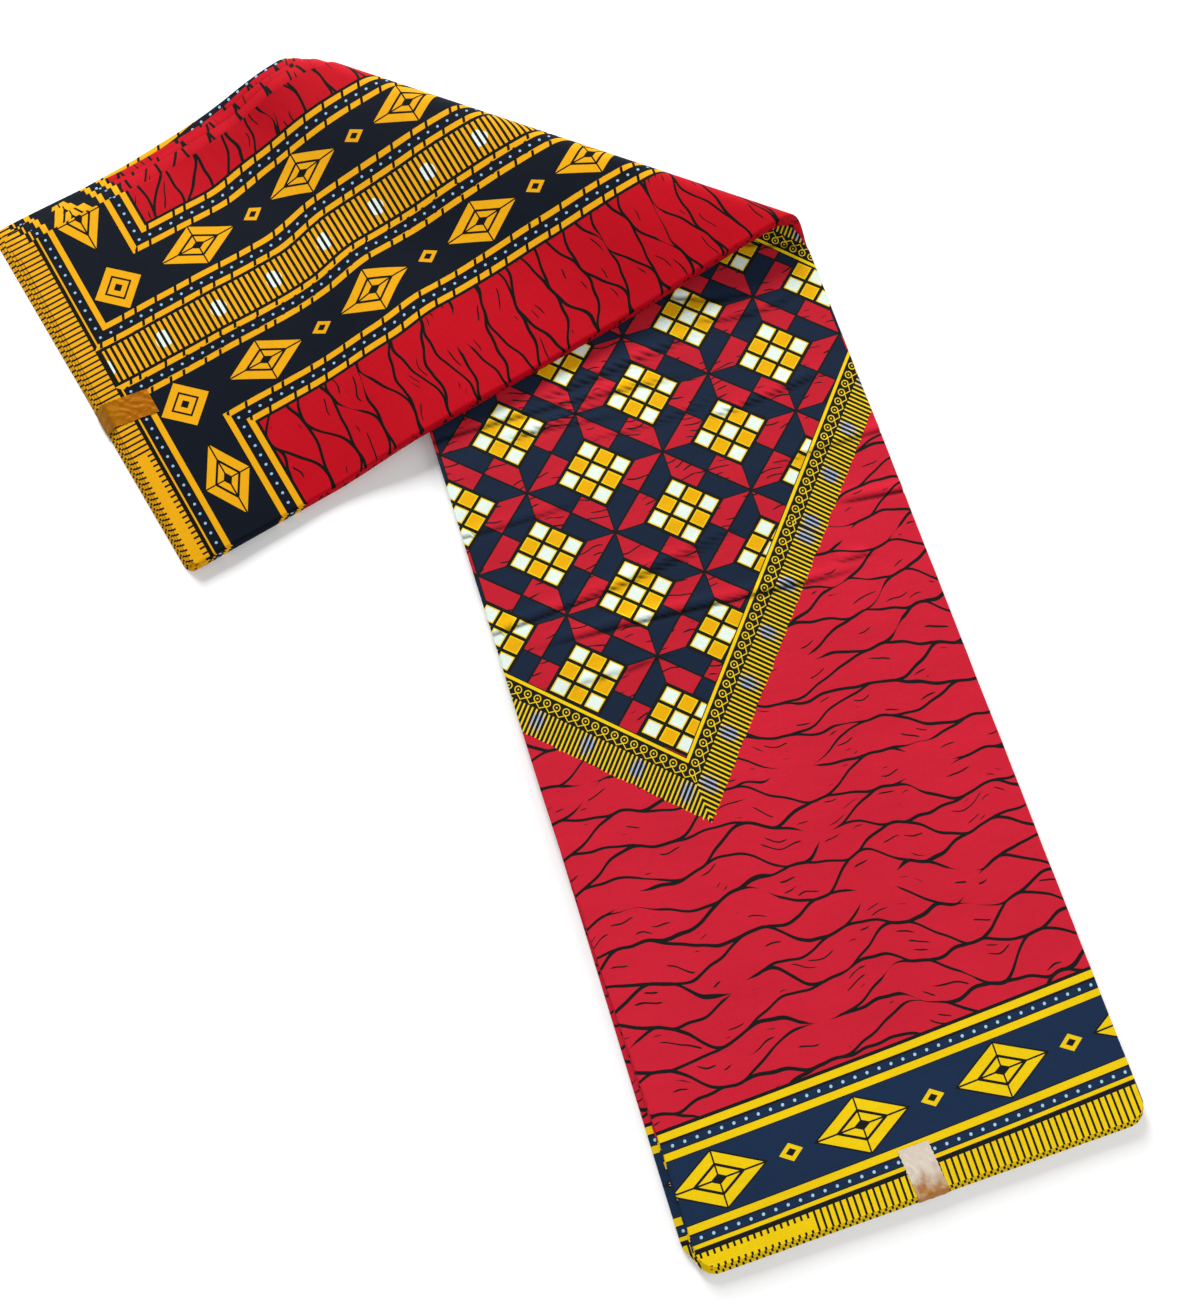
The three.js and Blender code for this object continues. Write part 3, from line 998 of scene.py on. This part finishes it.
def new_material(name, settings):
    material = bpy.data.materials.new(name)
    material.use_nodes = True
    shader = material.node_tree.nodes["Principled BSDF"]
    for socket, value in settings.items():
        shader.inputs[socket].default_value = value
    return material, material.node_tree, shader


def attribute(tree, name, output):
    node = tree.nodes.new("ShaderNodeAttribute")
    node.attribute_name = name
    return node.outputs[output]


def parts_of(socket):
    """The three numbers of a vector, each as a field."""
    split = socket.id_data.nodes.new("ShaderNodeSeparateXYZ")
    socket.id_data.links.new(socket, split.inputs[0])
    return [Field(part) for part in split.outputs]


def grain(x, y, field):
    return noise(x / field["across"], y / field["along"], field["detail"])


def add_bump(tree, shader, height):
    """Bump from a height in millimetres."""
    bump = tree.nodes.new("ShaderNodeBump")
    bump.inputs["Strength"].default_value = 1.0
    bump.inputs["Distance"].default_value = MM
    feed(tree, bump.inputs["Height"], height)
    tree.links.new(bump.outputs[0], shader.inputs["Normal"])


def cotton_material(name, print_of):
    """Printed cotton: its print, a plain weave, uneven threads, a faint sheen, and painted shade in
    the creases.
    """
    material, tree, shader = new_material(name, COTTON)
    w, a, d = parts_of(attribute(tree, "cloth", "Vector"))
    fade = grain(w, a, FADE) * FADE["share"] + (1 - FADE["share"] / 2)
    warp = noise(w / THREAD["width"], a / THREAD["length"], 0.0)
    weft = noise(w / THREAD["length"], a / THREAD["width"], 0.0)
    threads = (warp + weft) * THREAD["share"] + (1 - THREAD["share"])
    # Painted shade: the crease attribute darkens the print in the creases' grooves and lightens it on
    # their ridges, a painted highlight.
    lit = Field(attribute(tree, "crease", "Fac")).outside()
    tint = tree.nodes.new("ShaderNodeVectorMath")
    tint.operation = "SCALE"
    feed(tree, tint.inputs[0], print_of(tree, w, a, d))
    feed(tree, tint.inputs["Scale"], fade * threads * lit)
    tree.links.new(tint.outputs[0], shader.inputs["Base Color"])

    turn = 2 * math.pi / WEAVE["pitch"]
    weave = (w * turn).math("SINE") * (a * turn).math("SINE") * WEAVE["height"]
    add_bump(tree, shader, weave + grain(w, a, CRUMPLE) * CRUMPLE["height"])
    return material


def foil_material(name, first, last, length, gloss):
    """Thin creased foil, whose colour runs along it from the first tone to the last."""
    material, tree, shader = new_material(name, FOIL)
    shader.inputs["Specular IOR Level"].default_value = gloss
    x, y, _ = parts_of(attribute(tree, "foil", "Vector"))
    blotch = (grain(x, y, FOIL_BLOTCH) - 0.5) * FOIL_BLOTCH["share"]
    paint = Paint(tree, first)
    paint.lay((y / length + blotch).eased(*FOIL_CHANGE), last)
    tree.links.new(paint.colour.socket, shader.inputs["Base Color"])
    facets = grain(x, y, FACETS) * FACETS["height"]
    scuffs = grain(x, y, SCUFFS) * SCUFFS["height"]
    add_bump(tree, shader, facets + scuffs)
    return material


# ---- The foil seals over the two ends ----

SEAL = {"stand_off": 0.12, "thickness": 0.25, "rows": 44, "columns": 26}
GOLD_SEAL = {"length": 32.0, "width": 20.0, "middle": 27.6, "turn": -8.9}
SILVER_SEAL = {"length": 23.0, "width": 20.5, "middle": 3.6, "turn": -5.2}
RAGGED_EDGE = {"reach": 0.25, "rate": 1.9, "shift": 0.6, "beyond": 0.47}
CRINKLE = {"height": 0.3, "across": 0.9, "along": 0.7}
CRINKLE_BEND = {"across": (1.3, 0.35), "along": (0.8, 0.5)}
PATH_SOFTENING = (1 / 9, 2 / 9, 3 / 9, 2 / 9, 1 / 9)


def bundle_reach(end, middle):
    """How far each bundle reaches past the strip's end at the seal."""
    return [mix(*bundle[end], middle / STRIP_WIDTH + 0.5) for bundle in BUNDLES]


def gold_path():
    """(s, h) points: over the far end, where each bundle reaches past the one above."""
    reach = [STRIP_LENGTH + out for out in bundle_reach("far", GOLD_SEAL["middle"])]
    step = STRIP_THICKNESS / len(BUNDLES)
    inner = reach[0] - GOLD_SEAL["length"]
    return ((inner, 0.0), (reach[0], 0.0), (reach[2], step * 2), (reach[4], step * 4))


def silver_path():
    """(s, h) points: over the front end, where the upper bundles are set back."""
    reach = bundle_reach("front", SILVER_SEAL["middle"])
    step = STRIP_THICKNESS / len(BUNDLES)
    top = STRIP_THICKNESS
    return (
        (SILVER_SEAL["length"], top),
        (-reach[4], top),
        (-reach[3], step * 4),
        (-reach[2], step * 3),
        (-reach[2], step),
    )


def foil_crinkle(x, y):
    bend, rate = CRINKLE_BEND["across"]
    across = np.sin(x * CRINKLE["across"] + bend * np.sin(y * rate))
    bend, rate = CRINKLE_BEND["along"]
    along = np.sin(y * CRINKLE["along"] + bend * np.sin(x * rate))
    return 0.5 * CRINKLE["height"] * (1 + across * along)


def seal_piece(name, path, seal, relief, lifted_top, material):
    """A strip of crinkled foil that follows a path over the cloth and down its end."""
    path = np.array(path, dtype=float)
    steps = np.hypot(*np.diff(path, axis=0).T)
    walked = np.concatenate([[0.0], np.cumsum(steps)])
    along = np.linspace(0, walked[-1], SEAL["rows"])
    s_line = np.interp(along, walked, path[:, 0])
    h_line = np.interp(along, walked, path[:, 1])
    h_line = np.convolve(np.pad(h_line, 2, mode="edge"), PATH_SOFTENING, mode="valid")
    slope_s, slope_h = np.gradient(s_line), np.gradient(h_line)
    size = np.hypot(slope_s, slope_h)
    normal_s, normal_h = slope_h / size, -slope_s / size
    across = np.linspace(-0.5, 0.5, SEAL["columns"]) * seal["width"]
    lean = math.tan(math.radians(seal["turn"]))
    x, y = np.meshgrid(across, along)
    wave = RAGGED_EDGE["reach"] * np.sin(y * RAGGED_EDGE["rate"] + RAGGED_EDGE["shift"])
    ragged = wave * np.sign(x) * (np.abs(x) > RAGGED_EDGE["beyond"] * seal["width"])
    crinkle = foil_crinkle(x, y)
    shells = []
    for depth in (0.0, SEAL["thickness"]):
        away = SEAL["stand_off"] + crinkle + depth
        s = s_line[:, None] + normal_s[:, None] * away
        h = h_line[:, None] + normal_h[:, None] * away
        w = seal["middle"] + x + ragged + lean * (s - path[0, 0])
        share = h_line[:, None] / STRIP_THICKNESS
        lift = relief(s, w)
        h = h + (lift * share if lifted_top else -lift * (1 - share))
        shells.append(place(s, w, h).reshape(-1, 3))
    count = x.size
    index = np.arange(count).reshape(x.shape)
    cover = grid_quads(index)
    rim = grid_rim(index)
    after = np.roll(rim, -1)
    walls = np.stack([rim, after, after + count, rim + count], axis=-1)
    faces = np.concatenate([cover[:, ::-1], cover + count, walls])
    mesh = new_mesh(name, np.concatenate(shells), faces)
    foil = np.zeros((2 * count, 3), dtype=np.float32)
    foil[:, 0] = np.tile(x.ravel(), 2)
    foil[:, 1] = np.tile(y.ravel(), 2)
    mesh.attributes.new("foil", "FLOAT_VECTOR", "POINT").data.foreach_set("vector", foil.ravel())
    mesh.materials.append(material)
    return new_piece(name, mesh)


# ---- The pieces ----

face = cotton_material("printed cotton", face_print)
reverse = cotton_material("printed cotton reverse", reverse_print)

lower_cloth = cloth_mesh(
    "lower_cloth", lower_rows, LOWER_ROWS + 1, lower_relief, crease_shade, True, (face, reverse)
)
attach(lower_cloth, "root")
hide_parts("lower_stretch")

upper_row_count = TURN_ROWS + UPPER_ROWS + 1
upper_cloth = cloth_mesh(
    "upper_cloth", upper_rows, upper_row_count, upper_relief, no_shade, False, (face, reverse)
)
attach(upper_cloth, "root")
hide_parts("turned_fold", "upper_stretch")

gold_foil = foil_material("gold foil", linear(167, 98, 2), linear(182, 117, 8), 40.0, 0.08)
gold_seal = seal_piece("gold_seal_foil", gold_path(), GOLD_SEAL, upper_relief, False, gold_foil)
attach(gold_seal, "root")
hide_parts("gold_seal")

pale_foil = foil_material("pale foil", linear(240, 226, 208), linear(180, 116, 26), 32.0, 0.5)
silver_seal = seal_piece(
    "silver_seal_foil", silver_path(), SILVER_SEAL, lower_relief, True, pale_foil
)
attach(silver_seal, "root")
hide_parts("silver_seal")


# ---- The studio ----

# Places and sizes here are in metres. tilt: degrees from straight down, towards the far side.
CAMERA = {"place": (0.049957, -0.16925, 0.7278), "tilt": 10.701, "lens": 29.515}
FLOOR_SIZE = 6.0
WORLD_STRENGTH = 0.30
SOFTBOXES = (
    {"name": "key", "place": (-0.7, 2.1, 1.15), "size": 0.9, "energy": 88.0},
    {"name": "fill_right", "place": (1.9, 0.2, 1.4), "size": 1.4, "energy": 16.0},
    {"name": "fill_front", "place": (0.5, -2.0, 1.5), "size": 1.4, "energy": 23.0},
)


def add_softbox(name, place, size, energy):
    """A square lamp that looks at the middle of the cloth."""
    lamp = bpy.data.lights.new(name, "AREA")
    lamp.shape = "SQUARE"
    lamp.size = size
    lamp.energy = energy
    softbox = bpy.data.objects.new(name, lamp)
    softbox.location = place
    x, y, z = place
    softbox.rotation_euler = (math.atan2(math.hypot(x, y), z), 0.0, math.atan2(x, -y))
    bpy.context.collection.objects.link(softbox)


def studio():
    scene = bpy.context.scene
    scene.view_settings.view_transform = "Standard"
    camera = bpy.data.objects.new("camera", bpy.data.cameras.new("camera"))
    camera.location = CAMERA["place"]
    camera.rotation_euler = (math.radians(CAMERA["tilt"]), 0.0, 0.0)
    camera.data.lens = CAMERA["lens"]
    bpy.context.collection.objects.link(camera)
    scene.camera = camera

    world = bpy.data.worlds.new("studio")
    world.use_nodes = True
    background = world.node_tree.nodes["Background"]
    background.inputs["Color"].default_value = (1.0, 1.0, 1.0, 1.0)
    background.inputs["Strength"].default_value = WORLD_STRENGTH
    scene.world = world
    for softbox in SOFTBOXES:
        add_softbox(**softbox)

    half = FLOOR_SIZE / 2
    mesh = bpy.data.meshes.new("floor")
    corners = [(-half, -half, 0), (half, -half, 0), (half, half, 0), (-half, half, 0)]
    mesh.from_pydata(corners, [], [(0, 1, 2, 3)])
    floor = bpy.data.objects.new("floor", mesh)
    mesh.materials.append(new_material("floor", FLOOR)[0])
    bpy.context.collection.objects.link(floor)


studio()
